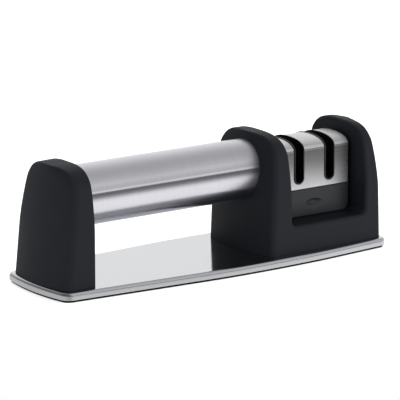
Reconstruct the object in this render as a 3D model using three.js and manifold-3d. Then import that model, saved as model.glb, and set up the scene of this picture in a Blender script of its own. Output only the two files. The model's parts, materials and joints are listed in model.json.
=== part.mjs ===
import * as THREE from "three";
import { mergeVertices } from "three/addons/utils/BufferGeometryUtils.js";
import Module from "manifold-3d";

// Two-stage pull-through knife sharpener: a steel tray, a grip tube between a post and a head,
// and a lift-out insert whose wheels meet in a V under each slot.
// Millimetres. +X runs from the post to the head, -Y is the front, +Z is up,
// and the origin lies under the middle of the base.

// Clearances
const SEAT_GAP = 0.3;
const RUN_GAP = 0.12;
const COVER_GAP = 0.15;
const SCREW_SPARE = 1;

// How far a cutter reaches past the face that it opens
const OVERRUN = 1;

// Base: pressed tray, stiffener and mat. Its sides taper from their widest place to both ends,
// in millimetres per millimetre, with a soft crest between the two tapers.
const BASE_LENGTH = 204.4;
const BASE_HALF_WIDTH = 35.9;
const BASE_WIDEST = 23.6;
const BASE_CREST = 40;
const BASE_POST_TAPER = 0.069;
const BASE_HEAD_TAPER = 0.1;
const BASE_END_BOW = 3.1;
const BASE_CORNER = 4;
const BASE_TOP = 5;
const TRAY_SHEET = 0.8;
const TRAY_BEND = 1.7;
const RIM_LIFT = 1.3;
const MAT_THICKNESS = 1.6;

// Post and head: arched blocks with bowed ends, a slightly bowed top and ends that lean in.
// The arch is upright to its waist, drawn in to its shoulder and crowned above, in shares of
// the half width and height.
const BLOCK_ARCH = { waistShare: 0.46, shoulderShare: 0.846, riseShare: 0.875 };
const BLOCK_TOP_SAG = 1.2;
const CROWN_EDGE = 0.5;

// Post
const POST_INSET = 1.5;
const POST_DEPTH = 20.6;
const POST_HALF_WIDTH = 25.1;
const POST_HEIGHT = 60.2;
const POST_BOW = 4.2;
const POST_CORNER = 3.6;
const POST_INNER_CORNER = 1;
const POST_LEAN = { topShare: 0.58, power: 1.2 };

// Head and its bay
const HEAD_INSET = 3.2;
const HEAD_HALF_WIDTH = 28.1;
const HEAD_TAPER = 0.039;
const HEAD_CREST = 2.6;
const HEAD_HEIGHT = 60.9;
const HEAD_INNER_CHEEK = 16.9;
const HEAD_OUTER_CHEEK = 12.4;
const HEAD_INNER_BOW = 3.8;
const HEAD_OUTER_BOW = 2.4;
const HEAD_INNER_CORNER = 2.8;
const HEAD_OUTER_CORNER = 2;
const HEAD_LEAN = { topShare: 0.58, power: 2 };
const BAY_CLEARANCE = 1.5;
const BAY_FLOOR_HEIGHT = 14;
const BAY_CORNER = 3;
const BAY_DRAFT = 0.01;
const BAY_EDGE = 1.4;
const BAY_EDGE_TOP_SHARE = 0.6;

// Grip tube
const TUBE_RADIUS = 15.6;
const TUBE_WALL = 1;
const TUBE_AXIS_HEIGHT = 41.1;
const POST_SOCKET = 9;
const HEAD_SOCKET_END = 3.4;

// Insert: heights count from the floor of the bay
const INSERT_HALF_WIDTH = 22.5;
const INSERT_HALF_DEPTH = 13.4;
const INSERT_CORNER = 4;
const INSERT_SOFT_EDGE = 0.8;
const COVER_MARGIN = 0.7;
const COVER_SHEET = 0.6;
const COVER_HEM = 15;
const COVER_CROWN = 40.2;
const COVER_BEND = 5.4;
const COVER_SHOULDER = 4;
const COVER_SHOULDER_DROP = 1.2;
const COVER_ROLL_RISE = 2.5;
const COVER_ROLL_REACH = 1.8;
const COVER_ROLL_DROP = 0.8;
const COVER_VAULT_REACH = 2.5;
const COVER_VAULT_RISE = 0.9;
const COVER_VAULT_FLAT = 3;
const SLOT_PITCH = 19.4;
const SLOT_WIDTH = 6.6;
const SLOT_FOOT = 17.7;
const SLOT_RIM = 0.55;
const SLOT_RIM_PROUD = 0.3;
const SCOOP_WIDTH = 12.4;
const SCOOP_TOP = 9.3;
const SCOOP_END = 7.3;
const SCOOP_FOOT = 3.6;
const SCOOP_DEPTH = 1.7;

// Wheels and what carries them
const WHEEL_RADIUS = 9;
const WHEEL_WIDTH = 4.2;
const WHEEL_HEADROOM = 2;
const GROOVE_RADIUS = 5;
const GROOVE_HALF_ANGLE = (20 * Math.PI) / 180;
const GROOVE_LIFT = 1;
const AXLE_RADIUS = 2;
const HUB_RADIUS = 3.4;
const HUB_FLANGE_RADIUS = 5.6;
const HUB_LENGTH = 14.4;
const CHAMBER_LENGTH = 15.2;
const CHAMBER_HALF_DEPTH = 10.6;
const INSERT_END_WALL = 2.6;
const INSERT_PLATE = 2;

// Screws
const SCREW_RADIUS = 1.5;
const SCREW_HEAD_RADIUS = 2.9;
const SCREW_HEAD_HEIGHT = 1.6;
const SCREW_LENGTH = 14;
const SMALL_SCREW_SCALE = 0.62;
const POST_SCREW_SPREAD = 15;
const HEAD_SCREW_SPREAD = 17;
const HEAD_SCREW_EDGE = 10;
const SMALL_SCREW_SPREAD = 7;

// Levels and positions that follow from the sizes above
const halfLength = BASE_LENGTH / 2;
const blockFoot = BASE_TOP + SEAT_GAP;
const tubeAxis = BASE_TOP + TUBE_AXIS_HEIGHT;
const postOuter = POST_INSET - halfLength;
const postInner = postOuter + POST_DEPTH;
const headOuter = halfLength - HEAD_INSET;
const bayRight = headOuter - HEAD_OUTER_CHEEK;
const bayCentre = bayRight - INSERT_HALF_WIDTH - BAY_CLEARANCE;
const bayLeft = bayCentre - INSERT_HALF_WIDTH - BAY_CLEARANCE;
const headInner = bayLeft - HEAD_INNER_CHEEK;
const bayFloor = BASE_TOP + BAY_FLOOR_HEIGHT;
const coreTop = BASE_TOP - TRAY_SHEET - SEAT_GAP;
const coreFoot = MAT_THICKNESS + SEAT_GAP;
const insertFoot = SEAT_GAP;
const coverHalfWidth = INSERT_HALF_WIDTH - COVER_MARGIN;
const rimWidth = SLOT_WIDTH - 2 * COVER_GAP;
const slotInnerWidth = rimWidth - 2 * SLOT_RIM;
const slotInnerFoot = SLOT_FOOT + COVER_GAP + SLOT_RIM;
const axleHeight = slotInnerFoot + GROOVE_LIFT - GROOVE_RADIUS;
const plateHalfWidth = INSERT_HALF_WIDTH - INSERT_END_WALL;
const plateTop = insertFoot + INSERT_PLATE;
const smallScrewLength = SCREW_LENGTH * SMALL_SCREW_SCALE;
const stages = [-SLOT_PITCH / 2, SLOT_PITCH / 2];

const wasm = await Module();
wasm.setup();

// Closed geometry as a solid that can be joined and cut
function solidOf(geometry) {
  const bare = geometry.clone();
  bare.deleteAttribute("normal");
  bare.deleteAttribute("uv");
  const merged = mergeVertices(bare, 1e-4);
  const mesh = new wasm.Mesh({
    numProp: 3,
    vertProperties: merged.attributes.position.array,
    triVerts: new Uint32Array(merged.index.array),
  });
  return new wasm.Manifold(mesh);
}

// Solid back to geometry
function geometryOf(solid) {
  const mesh = solid.getMesh();
  const geometry = new THREE.BufferGeometry();
  geometry.setAttribute("position", new THREE.BufferAttribute(mesh.vertProperties, 3));
  geometry.setIndex(new THREE.BufferAttribute(mesh.triVerts, 1));
  geometry.computeVertexNormals();
  return geometry;
}

const axisX = new THREE.Vector3(1, 0, 0);
const axisY = new THREE.Vector3(0, 1, 0);
const axisZ = new THREE.Vector3(0, 0, 1);

// Prism of a shape drawn in Y and Z
function alongX(shape, from, to, options = {}) {
  const settings = { depth: to - from, bevelEnabled: false, curveSegments: 8, ...options };
  const turn = new THREE.Matrix4().makeBasis(axisY, axisZ, axisX);
  return new THREE.ExtrudeGeometry(shape, settings).applyMatrix4(turn).translate(from, 0, 0);
}

// Prism of a shape drawn in X and Z
function alongY(shape, from, to, options = {}) {
  const settings = { depth: to - from, bevelEnabled: false, curveSegments: 8, ...options };
  const turn = new THREE.Matrix4().makeBasis(axisX, axisZ, axisY.clone().negate());
  return new THREE.ExtrudeGeometry(shape, settings).applyMatrix4(turn).translate(0, to, 0);
}

// Prism of a shape drawn in X and Y
function alongZ(shape, from, to, options = {}) {
  const settings = { depth: to - from, bevelEnabled: false, curveSegments: 8, ...options };
  return new THREE.ExtrudeGeometry(shape, settings).translate(0, 0, from);
}

// Closed skin through loops of equal count; flatten maps a point to the plane of the end caps
function loft(loops, flatten) {
  const count = loops[0].length;
  const faces = [];
  for (let level = 0; level + 1 < loops.length; level += 1) {
    for (let i = 0; i < count; i += 1) {
      const a = level * count + i;
      const b = level * count + ((i + 1) % count);
      faces.push(a, b, b + count, a, b + count, a + count);
    }
  }
  const last = (loops.length - 1) * count;
  for (const [a, b, c] of THREE.ShapeUtils.triangulateShape(loops[0].map(flatten), [])) {
    faces.push(c, b, a);
  }
  for (const [a, b, c] of THREE.ShapeUtils.triangulateShape(loops.at(-1).map(flatten), [])) {
    faces.push(last + a, last + b, last + c);
  }
  const geometry = new THREE.BufferGeometry().setFromPoints(loops.flat());
  geometry.setIndex(faces);
  return geometry;
}

// Box between two corners
function boxBetween(low, high) {
  const size = high.map((value, i) => value - low[i]);
  const middle = high.map((value, i) => (value + low[i]) / 2);
  return solidOf(new THREE.BoxGeometry(...size).translate(...middle));
}

// Solid of revolution about X; the profile is a list of [position along X, radius]
function turned(profile, segments) {
  const points = profile.map(([along, radius]) => new THREE.Vector2(radius, along));
  return new THREE.LatheGeometry(points, segments).rotateZ(-Math.PI / 2);
}

// The same about Z
function upright(profile, segments) {
  return turned(profile, segments).rotateY(-Math.PI / 2);
}

// Rounds a corner of a shape from the current point to an end point
function roundTo(shape, corner, end) {
  const share = 0.5523;
  const first = shape.currentPoint.clone().lerp(corner, share);
  const second = end.clone().lerp(corner, share);
  shape.bezierCurveTo(first.x, first.y, second.x, second.y, end.x, end.y);
}

// Half width of a plan at a place along the grip: it tapers from its widest place to both ends
function sideAt({ half, widest, leftTaper, rightTaper }, x) {
  return half - (x < widest ? leftTaper : rightTaper) * Math.abs(x - widest);
}

// Plan outline with a soft crest at its widest place and bowed ends
function barrel(plan) {
  const { left, leftBow, leftCorner, right, rightBow, rightCorner, half, widest, crest } = plan;
  const side = (x) => sideAt(plan, x);
  const cornerLeft = new THREE.Vector2(left + leftBow, side(left + leftBow));
  const cornerRight = new THREE.Vector2(right - rightBow, side(right - rightBow));
  const from = cornerLeft.x + leftCorner;
  const to = cornerRight.x - rightCorner;
  const endLeft = cornerLeft.y - leftCorner;
  const endRight = cornerRight.y - rightCorner;
  const leftRise = leftBow * (endLeft / cornerLeft.y) ** 2;
  const rightRise = rightBow * (endRight / cornerRight.y) ** 2;
  const peak = new THREE.Vector2(widest, half);
  const nearLeft = new THREE.Vector2(widest - crest, side(widest - crest));
  const nearRight = new THREE.Vector2(widest + crest, side(widest + crest));
  const flip = (point) => new THREE.Vector2(point.x, -point.y);
  const shape = new THREE.Shape();
  shape.moveTo(from, -side(from));
  shape.lineTo(nearLeft.x, -nearLeft.y);
  roundTo(shape, flip(peak), flip(nearRight));
  shape.lineTo(to, -side(to));
  roundTo(shape, flip(cornerRight), new THREE.Vector2(right - rightRise, -endRight));
  shape.quadraticCurveTo(right + rightRise, 0, right - rightRise, endRight);
  roundTo(shape, cornerRight, new THREE.Vector2(to, side(to)));
  shape.lineTo(nearRight.x, nearRight.y);
  roundTo(shape, peak, nearLeft);
  shape.lineTo(from, side(from));
  roundTo(shape, cornerLeft, new THREE.Vector2(left + leftRise, endLeft));
  shape.quadraticCurveTo(left - leftRise, 0, left + leftRise, -endLeft);
  roundTo(shape, flip(cornerLeft), new THREE.Vector2(from, -side(from)));
  return shape;
}

// Outline of the base, drawn in by an inset
function baseOutline(inset) {
  return barrel({
    left: inset - halfLength,
    leftBow: BASE_END_BOW,
    leftCorner: BASE_CORNER - inset,
    right: halfLength - inset,
    rightBow: BASE_END_BOW,
    rightCorner: BASE_CORNER - inset,
    half: BASE_HALF_WIDTH - inset,
    widest: BASE_WIDEST,
    crest: BASE_CREST,
    leftTaper: BASE_POST_TAPER,
    rightTaper: BASE_HEAD_TAPER,
  });
}

// Slab on the base outline with a rolled upper edge
function baseSlab(inset, foot, top, bend, steps) {
  const geometry = alongZ(baseOutline(inset), foot - bend, top - bend, {
    bevelEnabled: true,
    bevelThickness: bend,
    bevelSize: bend,
    bevelOffset: -bend,
    bevelSegments: steps,
  });
  const reach = halfLength + OVERRUN;
  const below = boxBetween([-reach, -reach, foot - 3 * bend], [reach, reach, foot]);
  return solidOf(geometry).subtract(below);
}

// Half of the arch as two curves in shares of half width and height: flank and crown
function archCurves() {
  const { waistShare: waist, shoulderShare: wide, riseShare: high } = BLOCK_ARCH;
  const start = new THREE.Vector2(1, waist);
  const shoulder = new THREE.Vector2(wide, high);
  const upright = new THREE.Vector2(1, waist + 0.28 * (high - waist));
  const drawn = new THREE.Vector2(wide + 0.43 * (1 - wide), high - 0.105 * (high - waist));
  const turn = shoulder.clone().lerp(drawn, -2.28);
  const flat = new THREE.Vector2(0.51, 1);
  const flank = new THREE.CubicBezierCurve(start, upright, drawn, shoulder);
  const crown = new THREE.CubicBezierCurve(shoulder, turn, flat, new THREE.Vector2(0, 1));
  return { flank, crown };
}

// Points of the arch from the foot to just short of its top
function archLevels() {
  const { flank, crown } = archCurves();
  return [new THREE.Vector2(1, 0), ...flank.getPoints(8), ...crown.getPoints(9).slice(1, -1)];
}

// Half width of the arch, as a share, at a share of its height
function archWidth(rise) {
  const points = archLevels();
  const above = points.findIndex((point) => point.y >= rise);
  if (above < 1) {
    return above < 0 ? points.at(-1).x : 1;
  }
  const [low, high] = [points[above - 1], points[above]];
  return THREE.MathUtils.mapLinear(rise, low.y, high.y, low.x, high.x);
}

// Height of a block over its foot at a place along the grip
function blockHeight(height, x) {
  return height - SEAT_GAP - BLOCK_TOP_SAG * (x / halfLength) ** 2;
}

// Moulded block: plan outlines lofted up its arch. Ends beyond leanFrom and leanTo lean in, and
// the upright corners stay soft to the shoulder and turn crisp along the crown.
function block({ outline, height, lean, leanFrom, leanTo }) {
  const loops = archLevels().map((level) => {
    const keep = 1 - (1 - lean.topShare) * level.y ** lean.power;
    const fade = THREE.MathUtils.clamp(2 * (level.x / BLOCK_ARCH.shoulderShare) - 1, 0, 1);
    const corner = (radius) => THREE.MathUtils.lerp(CROWN_EDGE, radius, fade);
    const section = barrel({
      ...outline,
      left: leanFrom + (outline.left - leanFrom) * keep,
      leftBow: outline.leftBow * keep,
      leftCorner: corner(outline.leftCorner),
      right: leanTo + (outline.right - leanTo) * keep,
      rightBow: outline.rightBow * keep,
      rightCorner: corner(outline.rightCorner),
    });
    return section
      .getPoints(5)
      .slice(0, -1)
      .map(({ x, y }) => new THREE.Vector3(x, y * level.x, blockFoot + level.y * blockHeight(height, x)));
  });
  return solidOf(loft(loops, (point) => new THREE.Vector2(point.x, point.y)));
}

// Upright hole for a screw that enters from below
function screwHole(x, y, scale, foot, top) {
  const radius = SCREW_RADIUS * scale + SEAT_GAP / 2;
  const hole = upright([[foot, 0], [foot, radius], [top, radius], [top, 0]], 10);
  return solidOf(hole.translate(x, y, 0));
}

// Countersink and hole for a screw whose head lies flush in the lower face
function screwSeat(x, y, scale, foot, top) {
  const rim = (SCREW_HEAD_RADIUS + SEAT_GAP) * scale;
  const neck = SCREW_RADIUS * scale + SEAT_GAP / 2;
  const deep = foot + SCREW_HEAD_HEIGHT * scale;
  const lip = SEAT_GAP / 3;
  const seat = [
    [foot - OVERRUN, 0],
    [foot - OVERRUN, rim],
    [foot + lip, rim],
    [deep + lip, neck],
    [top, neck],
    [top, 0],
  ];
  return solidOf(upright(seat, 10).translate(x, y, 0));
}

// Countersunk screw, head down
function screwGeometry(scale, length) {
  const head = SCREW_HEAD_RADIUS * scale;
  const neck = SCREW_RADIUS * scale;
  const lip = SEAT_GAP / 3;
  const profile = [
    [0, 0],
    [0, head],
    [lip, head],
    [SCREW_HEAD_HEIGHT * scale, neck],
    [length - 2 * neck, neck],
    [length, neck / 6],
    [length, 0],
  ];
  return upright(profile, 10);
}

// Places of the base screws
const postScrews = [-1, 1].map((side) => [postInner - POST_DEPTH / 2, side * POST_SCREW_SPREAD]);
const headScrews = [headInner + HEAD_SCREW_EDGE, headOuter - HEAD_SCREW_EDGE].flatMap((x) =>
  [-1, 1].map((side) => [x, side * HEAD_SCREW_SPREAD]),
);
const baseScrews = [...postScrews, ...headScrews];
const screwTop = coreFoot + SCREW_LENGTH + SCREW_SPARE;

// Tray pressed from sheet, with a rolled rim
function basePlate() {
  const skin = baseSlab(0, RIM_LIFT, BASE_TOP, TRAY_BEND, 3);
  const inside = TRAY_BEND - TRAY_SHEET;
  const hollow = baseSlab(TRAY_SHEET, RIM_LIFT - OVERRUN, BASE_TOP - TRAY_SHEET, inside, 2);
  return baseScrews.reduce(
    (solid, [x, y]) => solid.subtract(screwHole(x, y, 1, RIM_LIFT, BASE_TOP + OVERRUN)),
    skin.subtract(hollow),
  );
}

// Stiffener inside the tray, countersunk from below
function baseCore() {
  const slab = baseSlab(TRAY_SHEET + SEAT_GAP, coreFoot, coreTop, TRAY_BEND - TRAY_SHEET, 1);
  return baseScrews.reduce(
    (solid, [x, y]) => solid.subtract(screwSeat(x, y, 1, coreFoot, coreTop + OVERRUN)),
    slab,
  );
}

// Bore for one end of the tube
function socket(from, to) {
  const radius = TUBE_RADIUS + SEAT_GAP;
  const bore = turned([[from, 0], [from, radius], [to, radius], [to, 0]], 64);
  return solidOf(bore.translate(0, 0, tubeAxis));
}

// Post with the blind socket that holds the tube
function handlePost() {
  const body = block({
    outline: {
      left: postOuter,
      leftBow: POST_BOW,
      leftCorner: POST_CORNER,
      right: postInner,
      rightBow: 0,
      rightCorner: POST_INNER_CORNER,
      half: POST_HALF_WIDTH,
      widest: postInner - 3 * POST_INNER_CORNER,
      crest: POST_INNER_CORNER,
      leftTaper: 0,
      rightTaper: 0,
    },
    height: POST_HEIGHT,
    lean: POST_LEAN,
    leanFrom: postInner,
    leanTo: postInner,
  });
  return postScrews.reduce(
    (solid, [x, y]) => solid.subtract(screwHole(x, y, 1, blockFoot - OVERRUN, screwTop)),
    body.subtract(socket(postInner - POST_SOCKET - SEAT_GAP, postInner + OVERRUN)),
  );
}

// Outline of the bay from the front, grown outwards by an amount
function bayOutline(grow) {
  const top = BASE_TOP + HEAD_HEIGHT + OVERRUN;
  const foot = bayFloor - grow;
  const left = bayLeft - grow;
  const right = bayRight + grow;
  const corner = BAY_CORNER + grow;
  const draft = BAY_DRAFT * (top - bayFloor);
  const bend = foot + corner;
  const at = (x, z) => new THREE.Vector2(x, z);
  const stretches = [
    new THREE.LineCurve(at(left - draft, top), at(left, bend)).getPoints(12),
    new THREE.EllipseCurve(left + corner, bend, corner, corner, Math.PI, 1.5 * Math.PI).getPoints(5),
    new THREE.LineCurve(at(left + corner, foot), at(right - corner, foot)).getPoints(6),
    new THREE.EllipseCurve(right - corner, bend, corner, corner, 1.5 * Math.PI, 2 * Math.PI).getPoints(5),
    new THREE.LineCurve(at(right, bend), at(right + draft, top)).getPoints(12),
  ];
  return stretches.flatMap((points, i) => (i === 0 ? points : points.slice(1)));
}

// Plan of the head; its front and back faces taper from beside the bay to the outer end
const headPlan = {
  left: headInner,
  leftBow: HEAD_INNER_BOW,
  leftCorner: HEAD_INNER_CORNER,
  right: headOuter,
  rightBow: HEAD_OUTER_BOW,
  rightCorner: HEAD_OUTER_CORNER,
  half: HEAD_HALF_WIDTH,
  widest: bayLeft - HEAD_CREST,
  crest: HEAD_CREST,
  leftTaper: 0,
  rightTaper: HEAD_TAPER,
};

// Cutter for the bay; its mouths flare along the front and back faces so that their edges are round
function bayCutter() {
  const faceY = (x, z) => {
    const rise = (z - blockFoot) / blockHeight(HEAD_HEIGHT, x);
    return sideAt(headPlan, x) * Math.max(archWidth(rise), BAY_EDGE_TOP_SHARE);
  };
  const mouth = [0, 30, 60, 90].map((degrees) => {
    const angle = THREE.MathUtils.degToRad(degrees);
    return { depth: BAY_EDGE * (1 - Math.cos(angle)), grow: BAY_EDGE * (1 - Math.sin(angle)) };
  });
  const loopOn = (side, { depth, grow }) =>
    bayOutline(grow).map(({ x, y: z }) => new THREE.Vector3(x, side * (faceY(x, z) - depth), z));
  const loopOff = (side) =>
    bayOutline(BAY_EDGE).map(({ x, y: z }) => new THREE.Vector3(x, side * (HEAD_HALF_WIDTH + OVERRUN), z));
  const loops = [
    loopOff(1),
    ...mouth.map((level) => loopOn(1, level)),
    ...mouth.toReversed().map((level) => loopOn(-1, level)),
    loopOff(-1),
  ];
  return solidOf(loft(loops, (point) => new THREE.Vector2(point.x, point.z)));
}

// Head: two arched cheeks with the bay between them and a blind socket for the tube
function headHousing() {
  const body = block({
    outline: headPlan,
    height: HEAD_HEIGHT,
    lean: HEAD_LEAN,
    leanFrom: bayLeft,
    leanTo: bayRight,
  });
  return headScrews.reduce(
    (solid, [x, y]) => solid.subtract(screwHole(x, y, 1, blockFoot - OVERRUN, screwTop)),
    body.subtract(bayCutter()).subtract(socket(headInner - OVERRUN, bayLeft - HEAD_SOCKET_END)),
  );
}

// Grip tube
function handleTube() {
  const from = postInner - POST_SOCKET;
  const to = bayLeft - HEAD_SOCKET_END - SEAT_GAP;
  const inner = TUBE_RADIUS - TUBE_WALL;
  const profile = [
    [from, inner],
    [from, TUBE_RADIUS],
    [to, TUBE_RADIUS],
    [to, inner],
    [from, inner],
  ];
  return turned(profile, 64);
}

// Section of the insert across its slots: upright walls, rolled edges and a shallow crown
function insertSection(inset, foot) {
  const half = INSERT_HALF_DEPTH - inset;
  const crown = COVER_CROWN - inset;
  const bend = crown - COVER_BEND;
  const shoulder = half - COVER_SHOULDER;
  const level = crown - COVER_SHOULDER_DROP;
  const rolled = half - COVER_ROLL_REACH;
  const rollTop = level - COVER_ROLL_DROP;
  const rollFoot = bend + COVER_ROLL_RISE;
  const vault = shoulder - COVER_VAULT_REACH;
  const vaultTop = level + COVER_VAULT_RISE;
  const flat = COVER_VAULT_FLAT;
  const shape = new THREE.Shape();
  shape.moveTo(-half, foot);
  shape.lineTo(half, foot);
  shape.lineTo(half, bend);
  shape.bezierCurveTo(half, rollFoot, rolled, rollTop, shoulder, level);
  shape.bezierCurveTo(vault, vaultTop, flat, crown, 0, crown);
  shape.bezierCurveTo(-flat, crown, -vault, vaultTop, -shoulder, level);
  shape.bezierCurveTo(-rolled, rollTop, -half, rollFoot, -half, bend);
  shape.closePath();
  return shape;
}

// Round-footed slot, open at the top
function slotCut(centre, width, foot) {
  const radius = width / 2;
  const top = COVER_CROWN + 2 * OVERRUN;
  const reach = INSERT_HALF_DEPTH + 2 * OVERRUN;
  const shape = new THREE.Shape();
  shape.moveTo(centre - radius, top);
  shape.lineTo(centre - radius, foot + radius);
  shape.absarc(centre, foot + radius, radius, Math.PI, 2 * Math.PI, false);
  shape.lineTo(centre + radius, top);
  shape.closePath();
  return solidOf(alongY(shape, -reach, reach));
}

// Folded steel cover with a slot for each stage
function cartridgeCover() {
  const reach = coverHalfWidth + OVERRUN;
  const skin = solidOf(alongX(insertSection(0, COVER_HEM), -coverHalfWidth, coverHalfWidth));
  const hollow = solidOf(alongX(insertSection(COVER_SHEET, COVER_HEM - OVERRUN), -reach, reach));
  return stages.reduce(
    (solid, centre) => solid.subtract(slotCut(centre, SLOT_WIDTH, SLOT_FOOT)),
    skin.subtract(hollow),
  );
}

// Lower part of the insert, with soft edges and round lower corners
function insertSkirt() {
  const half = INSERT_HALF_WIDTH;
  const top = COVER_HEM - SEAT_GAP;
  const bend = insertFoot + INSERT_CORNER;
  const soft = INSERT_SOFT_EDGE;
  const shape = new THREE.Shape();
  shape.moveTo(-half, top);
  shape.lineTo(-half, bend);
  roundTo(shape, new THREE.Vector2(-half, insertFoot), new THREE.Vector2(INSERT_CORNER - half, insertFoot));
  shape.lineTo(half - INSERT_CORNER, insertFoot);
  roundTo(shape, new THREE.Vector2(half, insertFoot), new THREE.Vector2(half, bend));
  shape.lineTo(half, top);
  shape.closePath();
  const edges = {
    bevelEnabled: true,
    bevelThickness: soft,
    bevelSize: soft,
    bevelOffset: -soft,
    bevelSegments: 2,
  };
  return solidOf(alongY(shape, soft - INSERT_HALF_DEPTH, INSERT_HALF_DEPTH - soft, edges));
}

// Finger scoop: a lens outline, deepest under its arched brow and running out along its lower edge
function fingerScoop() {
  const reach = SCOOP_WIDTH / 2;
  const lens = new THREE.Shape();
  lens.moveTo(-reach, SCOOP_END);
  lens.quadraticCurveTo(0, 2 * SCOOP_FOOT - SCOOP_END, reach, SCOOP_END);
  lens.quadraticCurveTo(0, 2 * SCOOP_TOP - SCOOP_END, -reach, SCOOP_END);
  const outside = -INSERT_HALF_DEPTH - OVERRUN;
  const lower = (x) => THREE.MathUtils.lerp(SCOOP_FOOT, SCOOP_END, (x / reach) ** 2);
  const ramp = (x, z) => (SCOOP_DEPTH * (z - lower(x))) / (SCOOP_TOP - SCOOP_FOOT) - INSERT_HALF_DEPTH;
  const points = lens.getPoints(10).slice(0, -1);
  const loops = [
    points.map(({ x, y: z }) => new THREE.Vector3(x, ramp(x, z), z)),
    points.map(({ x, y: z }) => new THREE.Vector3(x, outside, z)),
  ];
  return solidOf(loft(loops, (point) => new THREE.Vector2(point.x, point.z)));
}

// Keyhole for the axle, open below so that the axle drops in with its wheels
function axleCut() {
  const radius = AXLE_RADIUS + RUN_GAP;
  const shape = new THREE.Shape();
  shape.moveTo(-radius, insertFoot - OVERRUN);
  shape.lineTo(radius, insertFoot - OVERRUN);
  shape.lineTo(radius, axleHeight);
  shape.absarc(0, axleHeight, radius, 0, Math.PI, false);
  shape.closePath();
  return solidOf(alongX(shape, -plateHalfWidth, plateHalfWidth));
}

// Chamber for the wheels of a stage, open below
function wheelChamber(centre) {
  const half = CHAMBER_LENGTH / 2;
  const top = axleHeight + WHEEL_RADIUS + WHEEL_HEADROOM;
  return boxBetween(
    [centre - half, -CHAMBER_HALF_DEPTH, insertFoot - OVERRUN],
    [centre + half, CHAMBER_HALF_DEPTH, top],
  );
}

const smallScrews = [-1, 1].map((side) => [0, side * SMALL_SCREW_SPREAD]);

// Moulded insert: skirt, core under the cover, raised slot rims and the wheel chambers
function cartridgeBody() {
  const width = coverHalfWidth;
  const core = solidOf(alongX(insertSection(COVER_SHEET + COVER_GAP, plateTop), -width, width));
  const proud = solidOf(alongX(insertSection(-SLOT_RIM_PROUD, COVER_HEM), -width, width));
  const recess = boxBetween(
    [-plateHalfWidth, -CHAMBER_HALF_DEPTH, insertFoot - OVERRUN],
    [plateHalfWidth, CHAMBER_HALF_DEPTH, plateTop + SEAT_GAP],
  );
  const rimmed = stages.reduce(
    (solid, centre) => solid.add(proud.intersect(slotCut(centre, rimWidth, SLOT_FOOT + COVER_GAP))),
    core.add(insertSkirt()),
  );
  const slotted = stages.reduce(
    (solid, centre) =>
      solid.subtract(slotCut(centre, slotInnerWidth, slotInnerFoot)).subtract(wheelChamber(centre)),
    rimmed,
  );
  const top = insertFoot + smallScrewLength + SCREW_SPARE;
  return smallScrews.reduce(
    (solid, [x, y]) => solid.subtract(screwHole(x, y, SMALL_SCREW_SCALE, insertFoot, top)),
    slotted.subtract(recess).subtract(axleCut()).subtract(fingerScoop()),
  );
}

// Plate under the insert; its uprights carry the axle from below
function cartridgeBase() {
  const half = plateHalfWidth - SEAT_GAP;
  const deep = CHAMBER_HALF_DEPTH - SEAT_GAP;
  const web = (SLOT_PITCH - CHAMBER_LENGTH) / 2 - SEAT_GAP;
  const outer = (SLOT_PITCH + CHAMBER_LENGTH) / 2 + SEAT_GAP;
  const cheek = AXLE_RADIUS - SEAT_GAP;
  const top = axleHeight - AXLE_RADIUS - RUN_GAP;
  const plate = boxBetween([-half, -deep, insertFoot], [half, deep, plateTop]);
  const spans = [
    [-half, -outer],
    [-web, web],
    [outer, half],
  ];
  const ribbed = spans.reduce(
    (solid, [from, to]) => solid.add(boxBetween([from, -cheek, insertFoot], [to, cheek, top])),
    plate,
  );
  return smallScrews.reduce(
    (solid, [x, y]) => solid.subtract(screwSeat(x, y, SMALL_SCREW_SCALE, insertFoot, plateTop + OVERRUN)),
    ribbed,
  );
}

// Axle through both stages
function axleGeometry() {
  const reach = plateHalfWidth - SEAT_GAP;
  return turned([[-reach, 0], [-reach, AXLE_RADIUS], [reach, AXLE_RADIUS], [reach, 0]], 32);
}

// Sleeve with one flange; both wheels of a stage sit on it
function hubGeometry() {
  const half = HUB_LENGTH / 2;
  const bore = AXLE_RADIUS + RUN_GAP;
  const flange = -WHEEL_WIDTH - RUN_GAP;
  const profile = [
    [-half, bore],
    [-half, HUB_FLANGE_RADIUS],
    [flange, HUB_FLANGE_RADIUS],
    [flange, HUB_RADIUS],
    [half, HUB_RADIUS],
    [half, bore],
    [-half, bore],
  ];
  return turned(profile, 32);
}

// Wheel with a bevelled face; side is -1 or 1
function wheelGeometry(side) {
  const bore = HUB_RADIUS + RUN_GAP;
  const near = RUN_GAP;
  const bevel = near + (WHEEL_RADIUS - GROOVE_RADIUS) * Math.tan(GROOVE_HALF_ANGLE);
  const profile = [
    [near, bore],
    [near, GROOVE_RADIUS],
    [bevel, WHEEL_RADIUS],
    [WHEEL_WIDTH, WHEEL_RADIUS],
    [WHEEL_WIDTH, bore],
    [near, bore],
  ];
  const geometry = turned(profile, 40);
  return side > 0 ? geometry : geometry.rotateY(Math.PI);
}

const steel = (roughness) => ({ color: 0xc9cacc, roughness, metalness: 1 });
const plastic = (color, roughness) => ({ color, roughness, metalness: 0 });
const blockFinish = plastic(0x242528, 0.55);
const screwFinish = steel(0.35);

// Adds a named piece to a group
function addPiece(group, name, geometry, finish, place = [0, 0, 0]) {
  const mesh = new THREE.Mesh(geometry, new THREE.MeshStandardMaterial(finish));
  mesh.name = name;
  mesh.position.set(...place);
  group.add(mesh);
}

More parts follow.
